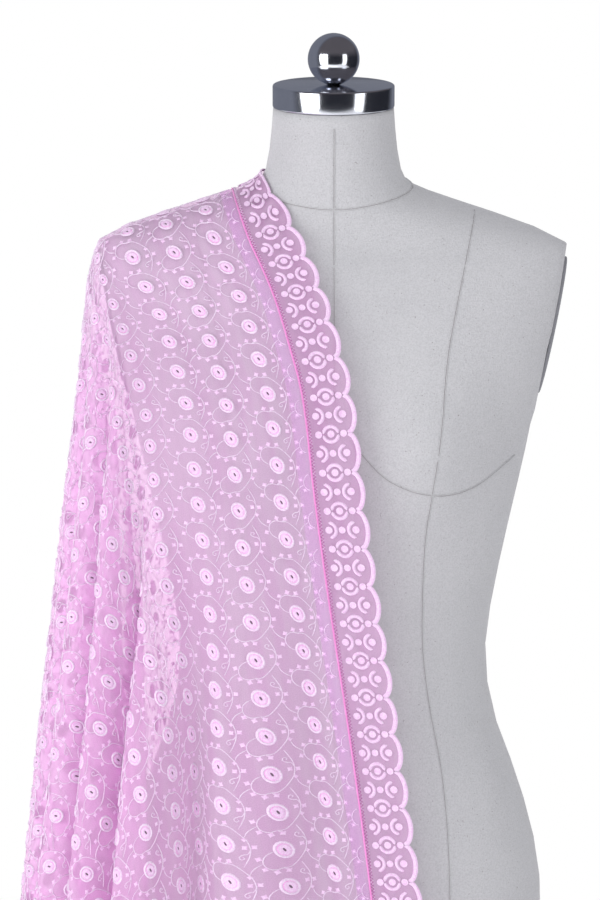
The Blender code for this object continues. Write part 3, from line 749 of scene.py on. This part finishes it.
# Lace border
# measures across the lace run from the seam towards the scallops
lace = {
    "cordAcross": 0.0006, "cordHalf": 0.0008, "ladderInner": 0.0014, "ladderOuter": 0.0036, "ladderPitch": 0.0028,
    "innerDot": (0.0086, 0.0029), "midDot": (0.0190, 0.0028), "outerDot": (0.0300, 0.0030),
    "notchInnerDot": (0.0092, 0.0029), "notchMidDot": (0.0190, 0.0029), "notchOuterDot": (0.0290, 0.0028),
    "dotFlank": 0.28, "dotMiddle": 0.65,       # width of a dot's flank, and how high its middle stands
    "crescentRadius": 0.0060, "crescentHalf": 0.0014, "crescentSweep": 84.96, "crescentOff": 0.0002,
    "bandHalf": 0.0019, "bandOver": 0.0004, "bandSteps": 14,
    "holeHalf": 0.0010, "holeRise": 0.0003, "zigHalf": 0.00045, "cordSteps": 6,
    "rise": 0.0012, "cordRise": 1.2, "zigRise": 0.7, "bandRise": 1.1,      # the last three in rises
    "crescentSections": (-1, -0.4, 0.4, 1), "bandSections": (-1, -0.5, 0.5, 1), "satinRises": (0.1, 1.0, 1.0, 0.1),
    "netColumns": 10, "netStep": 0.003, "netShort": 0.0006, "scallopBluntness": 0.55,
}


def scallopReach(along):
    # how far the lace reaches at a point along it; notches lie half way between the crests
    phase = (along / stole["scallopPitch"]) % 1.0
    crest = math.sin(math.pi * phase) ** lace["scallopBluntness"]
    return stole["laceWidth"] - stole["notchDepth"] + stole["notchDepth"] * crest


def laceNet():
    shape = bmesh.new()
    rows = round(stole["length"] / lace["netStep"])
    bmesh.ops.create_grid(shape, x_segments=lace["netColumns"], y_segments=rows, size=0.5)
    for vert in shape.verts:
        share = 0.5 - vert.co.x
        along = vert.co.y * stole["length"]
        vert.co = (-share * (scallopReach(along) - lace["netShort"]), along, 0)
    bmesh.ops.recalc_face_normals(shape, faces=shape.faces)
    return drapedMesh("laceNet", shape)


net = finishPiece("laceNet", laceNet(), [pinkNet], "lace", "lace_border_front", "lace_border_back")


def layDot(shape, across, along, radius, layer):
    made = bmesh.ops.create_circle(shape, cap_ends=True, cap_tris=True, segments=10, radius=radius)
    faces = list({face for vert in made["verts"] for face in vert.link_faces})
    flank = bmesh.ops.inset_region(shape, faces=faces, thickness=radius * lace["dotFlank"], depth=0.0)["faces"]
    for vert in {vert for face in faces for vert in face.verts}:
        vert.co.z = lace["rise"] * (1.0 if vert.co.xy.length > radius * 0.3 else lace["dotMiddle"])
    for vert in {vert for face in faces + flank for vert in face.verts}:
        vert[layer] = math.atan2(vert.co.y, vert.co.x) % math.pi * radius
        vert.co.x += across
        vert.co.y += along


def layCrescent(shape, across, along, facing, layer):
    # an arc of satin round a dot, its back towards facing (radians, 0 across, pi/2 along)
    radius, sweep = lace["crescentRadius"], math.radians(lace["crescentSweep"])
    path = [(across + math.cos(facing + turn) * radius, along + math.sin(facing + turn) * radius)
            for turn in np.linspace(-sweep, sweep, 13)]
    layStrip(shape, path, lace["crescentHalf"], lace["rise"], layer,
             lace["crescentSections"], lace["satinRises"], 0.25)


def drawScallop():
    # one pitch of the border, from notch to notch; drawn across +x from the seam, along +y
    shape, layer = newFlat()
    pitch, cordSteps = stole["scallopPitch"], lace["cordSteps"]
    ladderMiddle = (lace["ladderInner"] + lace["ladderOuter"]) / 2
    # the cord, and a dark strip under the ladder: painted shade in the ladder's holes
    for across, half, rise, thread in ((lace["cordAcross"], lace["cordHalf"], lace["rise"] * lace["cordRise"], 1),
                                       (ladderMiddle, lace["holeHalf"], lace["holeRise"], 2)):
        before = set(shape.faces)
        path = [(across, pitch * step / cordSteps) for step in range(cordSteps + 1)]
        layStrip(shape, path, half, rise, layer, taper=1.0)
        for face in set(shape.faces) - before:
            face.material_index = thread
    zigs = round(pitch / lace["ladderPitch"])
    path = []
    for step in range(zigs):
        path += [(lace["ladderInner"], pitch * step / zigs), (lace["ladderOuter"], pitch * (step + 0.5) / zigs)]
    path.append((lace["ladderInner"], pitch))
    layStrip(shape, path, lace["zigHalf"], lace["rise"] * lace["zigRise"], layer, taper=1.0)
    for name in ("innerDot", "midDot", "outerDot"):
        layDot(shape, lace[name][0], pitch / 2, lace[name][1], layer)
    layCrescent(shape, lace["innerDot"][0] - lace["crescentOff"], pitch / 2, 0.0, layer)
    layCrescent(shape, lace["outerDot"][0] + lace["crescentOff"], pitch / 2, math.pi, layer)
    for name in ("notchInnerDot", "notchMidDot", "notchOuterDot"):
        layDot(shape, lace[name][0], 0.0, lace[name][1], layer)
    for facing in (math.pi / 2, -math.pi / 2):
        layCrescent(shape, lace["notchMidDot"][0], 0.0, facing, layer)
    edge = []
    for step in range(lace["bandSteps"] + 1):
        along = pitch * step / lace["bandSteps"]
        inside = min(along + 1e-9, pitch - 1e-9)     # just off the notch, on this pitch's own side
        edge.append((scallopReach(inside) - lace["bandHalf"] + lace["bandOver"], along))
    layStrip(shape, edge, lace["bandHalf"], lace["rise"] * lace["bandRise"], layer,
             lace["bandSections"], lace["satinRises"], 1.0)
    return tileArrays(shape, layer)


def onLace(u, v):
    # a hair past the end, which rounding can reach
    return np.abs(v) < halfLength + 0.0001


scallop = drawScallop()
scallopCount = int(halfLength / stole["scallopPitch"]) + 1
scallops = np.array([(0.0, count * stole["scallopPitch"], 1.0) for count in range(-scallopCount, scallopCount)])
inFront = scallops[:, 1] >= 0
laceWork = [repeatTile(name, scallop, some, [laceSatin, seamSatin, holeShade], "lace", onLace)
            for name, some in (("frontLacework", scallops[inFront]), ("backLacework", scallops[~inFront]))]
print("lace", [len(piece.data.polygons) for piece in laceWork])


# Dress form
linenFinish = {
    "surface": {"Roughness": 0.85, "Sheen Weight": 0.15},
    "slubScale": 900.0, "slubStretch": 0.16, "weaveStrength": 0.5, "weaveDepth": 0.0005,
    "toneScale": 14.0, "darkTone": (0.412, 0.408, 0.424), "paleTone": (0.436, 0.432, 0.447),
    "speckleScale": 760.0, "speckle": (0.87, 0.87, 0.87), "fleckScale": 560.0, "fleck": (0.66, 0.64, 0.62),
}


def linenMaterial():
    material, tree, shader = newMaterial("offWhiteLinen")
    place = tree.nodes.new("ShaderNodeTexCoord").outputs["Object"]
    # slubs that run down and round, added up to the weave
    weave = addNode(tree, "ShaderNodeMath")
    weave.operation = "ADD"
    long = linenFinish["slubStretch"]
    for index, scale in enumerate(((1.0, 1.0, long), (long, long, 1.0))):
        slubs = noiseNode(tree, stretchNode(tree, place, scale), linenFinish["slubScale"], 3.0, 0.6)
        tree.links.new(slubs, weave.inputs[index])
    addBump(tree, shader, weave.outputs["Value"], linenFinish["weaveStrength"], linenFinish["weaveDepth"])
    tone = noiseNode(tree, place, linenFinish["toneScale"], 4.0, 0.6)
    tint = rampNode(tree, tone, ((0.3, linenFinish["darkTone"]), (0.7, linenFinish["paleTone"])))
    for spot, detail, roughness, low, high in (("speckle", 2.0, 0.6, 0.36, 0.60), ("fleck", 1.0, 0.4, 0.225, 0.275)):
        spots = noiseNode(tree, place, linenFinish[spot + "Scale"], detail, roughness)
        tint = mixNode(tree, "MULTIPLY", tint, rampNode(tree, spots, ((low, linenFinish[spot]), (high, (1, 1, 1)))))
    tree.links.new(tint, shader.inputs["Base Color"])
    setSockets(shader, linenFinish["surface"])
    return material


def plainMaterial(name, colour, roughness, metallic=0.0, grain=300.0, strength=0.1):
    # a plain finish with a fine grain in its roughness and bump
    material, tree, shader = newMaterial(name)
    shader.inputs["Metallic"].default_value = metallic
    noise = noiseNode(tree, tree.nodes.new("ShaderNodeTexCoord").outputs["Object"], grain, 3.0)
    tint = rampNode(tree, noise, ((0.3, [channel * 0.94 for channel in colour]), (0.7, colour)))
    tree.links.new(tint, shader.inputs["Base Color"])
    spread = addNode(tree, "ShaderNodeMapRange", To_Min=roughness * 0.85, To_Max=roughness * 1.15)
    tree.links.new(noise, spread.inputs["Value"])
    tree.links.new(spread.outputs["Result"], shader.inputs["Roughness"])
    addBump(tree, shader, noise, strength, 0.0002)
    return material


linen = linenMaterial()
# name, colour, roughness, metallic, scale and strength of the grain
chrome = plainMaterial("polishedChrome", (0.74, 0.76, 0.82), 0.13, 1.0, 90.0, 0.01)
plateGrey = plainMaterial("greyArmPlate", (0.22, 0.22, 0.24), 0.6)
seamShade = plainMaterial("seamShade", (0.27, 0.26, 0.26), 0.9)
boardGrey = plainMaterial("paintedBoard", (0.50, 0.49, 0.48), 0.7)
baseSteel = plainMaterial("satinSteel", (0.55, 0.56, 0.58), 0.28, 1.0, 500.0, 0.06)

shape = formShape.copy()
bmesh.ops.subdivide_edges(shape, edges=shape.edges, cuts=1, use_grid_fill=True, smooth=0.0)
torsoCover = finishPiece("torsoCover", meshFromShape("torsoCover", shape, 50), [linen], "linen", "form_torso")

seam = {"half": 0.0010, "rise": 0.0004, "groove": 0.0, "over": 0.0002, "steps": 90}
neckSeam = {"level": 1.4880, "slope": 0.020, "middle": -0.004, "steps": 72}
# seams as seen from the front, x and z; the princess and bust seams are mirrored
frontSeams = {
    "centreFront": ((0.0, 1.533), (0.0, 1.50), (0.0, 1.462), (0.0, 1.36), (0.0, 1.20), (0.0, 1.02), (0.0, 0.802)),
    "princess": ((0.1165, 1.468), (0.1084, 1.433), (0.0981, 1.386), (0.0905, 1.3445), (0.0847, 1.285),
                 (0.0783, 1.240), (0.0731, 1.200), (0.0714, 1.1455), (0.0722, 1.109), (0.0778, 1.064),
                 (0.0873, 1.0128), (0.0925, 0.951), (0.0940, 0.880), (0.0920, 0.802)),
    "underBust": ((0.012, 1.284), (0.0427, 1.2527), (0.0783, 1.240), (0.112, 1.2447), (0.148, 1.268)),
}
backSeams = {
    "centreBack": ((0.0, 1.49), (0.0, 1.36), (0.0, 1.20), (0.0, 1.02), (0.0, 0.802)),
    "backPrincess": ((0.1165, 1.468), (0.104, 1.40), (0.094, 1.32), (0.082, 1.22), (0.070, 1.12), (0.070, 1.06),
                     (0.082, 0.98), (0.090, 0.90), (0.088, 0.802)),
}
coverTree = BVHTree.FromObject(torsoCover, bpy.context.evaluated_depsgraph_get())


def seamAlong(name, points):
    # points: places on the form with their normals; two rolled edges with a groove between
    shape, layer = newFlat()
    rows, normals = zip(*points)
    sections = ((-1.0, 0.0), (-0.52, seam["rise"]), (-0.26, seam["groove"]), (0.26, seam["groove"]),
                (0.52, seam["rise"]), (1.0, 0.0))
    made = bmesh.ops.create_grid(shape, x_segments=len(sections) - 1, y_segments=len(rows) - 1, size=1.0)
    for face in shape.faces:
        face.material_index = 1 if abs(face.calc_center_median().x) < 0.1 else 0
    for vert in made["verts"]:
        column = round((vert.co.x + 1) / 2 * (len(sections) - 1))
        row = round((vert.co.y + 1) / 2 * (len(rows) - 1))
        way = rows[min(row + 1, len(rows) - 1)] - rows[max(row - 1, 0)]
        side = way.cross(normals[row]).normalized()
        across, rise = sections[column]
        vert.co = rows[row] + side * across * seam["half"] + normals[row] * (rise + seam["over"])
    bmesh.ops.recalc_face_normals(shape, faces=shape.faces)
    firstFaces = [face for face in shape.faces if face.calc_center_median().z > rows[0].z - 0.05]
    if sum(face.normal.dot(normals[0]) for face in firstFaces) < 0:
        bmesh.ops.reverse_faces(shape, faces=shape.faces)
    return finishPiece(name, meshFromShape(name, shape), [linen, seamShade], "linen")


def castSeam(name, points, mirror, forward):
    found = []
    for x, z in smoothPath(points, seam["steps"]):
        start = Vector((x * mirror, forward * 0.5, z))
        near, normal = coverTree.ray_cast(start, Vector((0, -forward, 0)))[:2]
        if near is not None:
            found.append((near, normal))
    return seamAlong(name, found)


for seams, forward in ((frontSeams, -1), (backSeams, 1)):
    for name, points in seams.items():
        for mirror, side in ((1, "Right"), (-1, "Left")):
            central = points[0][0] == 0.0
            if central and mirror < 0:
                continue
            castSeam(name + ("" if central else side), points, mirror, forward)
neckRing = []
for step in range(neckSeam["steps"] + 1):
    turn = 2 * math.pi * step / neckSeam["steps"]
    way = Vector((math.cos(turn), math.sin(turn), 0))
    level = neckSeam["level"] + neckSeam["slope"] * math.sin(turn)
    near, normal = coverTree.ray_cast(Vector((0, neckSeam["middle"], level)) + way * 0.3, -way)[:2]
    if near is not None:
        neckRing.append((near, normal))
seamAlong("neckSeam", neckRing)


def refineNode(nodeName, pieceName, material, slot, bevel=0.0):
    shape = mergedCopy(nodeName)
    bmesh.ops.dissolve_limit(shape, angle_limit=math.radians(1), verts=shape.verts, edges=shape.edges)
    if bevel:
        sharp = [edge for edge in shape.edges if edge.is_manifold and edge.calc_face_angle() > math.radians(50)]
        bmesh.ops.bevel(shape, geom=sharp, offset=bevel, segments=3, profile=0.5, affect="EDGES", material=-1)
    return finishPiece(pieceName, meshFromShape(pieceName, shape, 35), [material], slot, nodeName)


plateEdge = 0.0008
refineNode("arm_plate_right", "armPlateRight", plateGrey, "arm_plate", plateEdge)
refineNode("arm_plate_left", "armPlateLeft", plateGrey, "arm_plate", plateEdge)
refineNode("hip_board", "hipBoard", boardGrey, "board")
refineNode("pole", "pole", chrome, "chrome")
refineNode("pole_collar", "poleCollar", chrome, "chrome")
refineNode("base_plate", "basePlate", baseSteel, "base")
refineNode("finial_stem", "finialStem", chrome, "chrome")


def boxMiddle(nodeName):
    # the middle of a node's box, and its size
    low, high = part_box(nodeName)
    return (Vector(low) + Vector(high)) / 2, Vector(high) - Vector(low)


neckCap = {"radius": 0.0500, "height": 0.0185, "tilt": 10.0, "edge": 0.0016}
middle = boxMiddle("neck_cap")[0]
shape = bmesh.new()
bmesh.ops.create_cone(shape, cap_ends=True, segments=128, radius1=neckCap["radius"], radius2=neckCap["radius"],
                      depth=neckCap["height"])
rims = [edge for edge in shape.edges if edge.calc_face_angle() > math.radians(60)]
bmesh.ops.bevel(shape, geom=rims, offset=neckCap["edge"], segments=4, profile=0.5, affect="EDGES", material=-1)
tilt = Matrix.Rotation(math.radians(neckCap["tilt"]), 3, "X")
bmesh.ops.rotate(shape, cent=(0, 0, 0), matrix=tilt, verts=shape.verts)
bmesh.ops.translate(shape, vec=middle, verts=shape.verts)
finishPiece("neckCap", meshFromShape("neckCap", shape, 40), [chrome], "chrome", "neck_cap")

finial = {"sink": 0.0024}  # the ball sits down on its stem
middle, size = boxMiddle("finial_ball")
shape = bmesh.new()
bmesh.ops.create_uvsphere(shape, u_segments=96, v_segments=64, radius=size.z / 2)
bmesh.ops.translate(shape, vec=middle - Vector((0, 0, finial["sink"])), verts=shape.verts)
finishPiece("finialBall", meshFromShape("finialBall", shape), [chrome], "chrome", "finial_ball")
print("form dressed")

# Floor, light and camera
floorMaterial, tree, shader = newMaterial("paleFloor")
setSockets(shader, {"Base Color": (0.86, 0.86, 0.86, 1), "Roughness": 0.9})
shape = bmesh.new()
bmesh.ops.create_grid(shape, x_segments=1, y_segments=1, size=3.0)
floor = bpy.data.objects.new("floor", meshFromShape("floor", shape))
floor.data.materials.append(floorMaterial)
bpy.context.scene.collection.objects.link(floor)

world = bpy.data.worlds.new("studio")
bpy.context.scene.world = world
world.use_nodes = True
tree = world.node_tree
fill = tree.nodes["Background"]
setSockets(fill, {"Color": (0.95, 0.96, 1.0, 1), "Strength": 0.75})
seen = addNode(tree, "ShaderNodeBackground", Strength=1.0, Color=(1, 1, 1, 1))
# what polished metal sees: dark flags in front, a paler room above and behind
direction = tree.nodes.new("ShaderNodeTexCoord")
axes = tree.nodes.new("ShaderNodeSeparateXYZ")
tree.links.new(direction.outputs["Generated"], axes.inputs["Vector"])
overhead = rampNode(tree, axes.outputs["Z"], ((0.10, (0.018, 0.019, 0.026)), (0.45, (0.11, 0.10, 0.11))))
leftward = addNode(tree, "ShaderNodeMath")
leftward.operation = "MULTIPLY_ADD"
tree.links.new(axes.outputs["X"], leftward.inputs[0])
leftward.inputs[1].default_value = -0.6
tree.links.new(axes.outputs["Y"], leftward.inputs[2])
behind = rampNode(tree, leftward.outputs["Value"], ((0.10, (0.018, 0.019, 0.026)), (0.55, (0.19, 0.20, 0.24))))
flags = tree.nodes.new("ShaderNodeBackground")
tree.links.new(mixNode(tree, "LIGHTEN", overhead, behind), flags.inputs["Color"])
rays = tree.nodes.new("ShaderNodeLightPath")
below = fill
for ray, other in (("Is Glossy Ray", flags), ("Is Camera Ray", seen)):
    below = mixShaders(tree, below, other)
    tree.links.new(rays.outputs[ray], below.inputs["Fac"])
tree.links.new(below.outputs["Shader"], tree.nodes["World Output"].inputs["Surface"])


def aimed(name, data, place, aim):
    holder = bpy.data.objects.new(name, data)
    holder.location = place
    holder.rotation_euler = (Vector(aim) - Vector(place)).to_track_quat("-Z", "Y").to_euler()
    bpy.context.scene.collection.objects.link(holder)
    return holder


# name, place, aim, width, height, power, whether polished metal shows it
lights = (
    ("keyLeft", (-2.3, -2.2, 1.35), (0, 0, 1.15), 2.1, 2.4, 62, True),
    ("keyRight", (2.5, -2.1, 1.35), (0, 0, 1.15), 1.1, 2.4, 17, True),
    ("overhead", (0.0, -0.8, 3.4), (0, 0, 1.2), 1.8, 1.2, 11, False),
    ("low", (0.2, -2.8, 0.5), (0, 0, 0.9), 1.6, 0.7, 18, False),
    ("backLeft", (-1.6, 2.4, 1.6), (0, 0, 1.1), 1.6, 2.2, 50, False),
    ("backRight", (1.6, 2.6, 1.9), (0, 0, 1.2), 1.4, 1.6, 12, False),
)
for name, place, aim, width, height, power, shown in lights:
    lamp = bpy.data.lights.new(name, "AREA")
    lamp.shape = "RECTANGLE"
    lamp.size, lamp.size_y, lamp.energy = width, height, power
    aimed(name, lamp, place, aim).visible_glossy = shown

view = {"aim": (-0.0275, 0.0, 1.2684), "distance": 2.6, "pitch": 4.5, "seenHeight": 0.75}
aim = Vector(view["aim"])
eye = aim + Vector((0, -view["distance"], view["distance"] * math.tan(math.radians(view["pitch"]))))
camera = bpy.data.cameras.new("camera")
camera.sensor_fit = "VERTICAL"
camera.sensor_height = 36
camera.lens = camera.sensor_height * (aim - eye).length / view["seenHeight"]
bpy.context.scene.camera = aimed("camera", camera, eye, aim)
bpy.context.scene.view_settings.view_transform = "Standard"
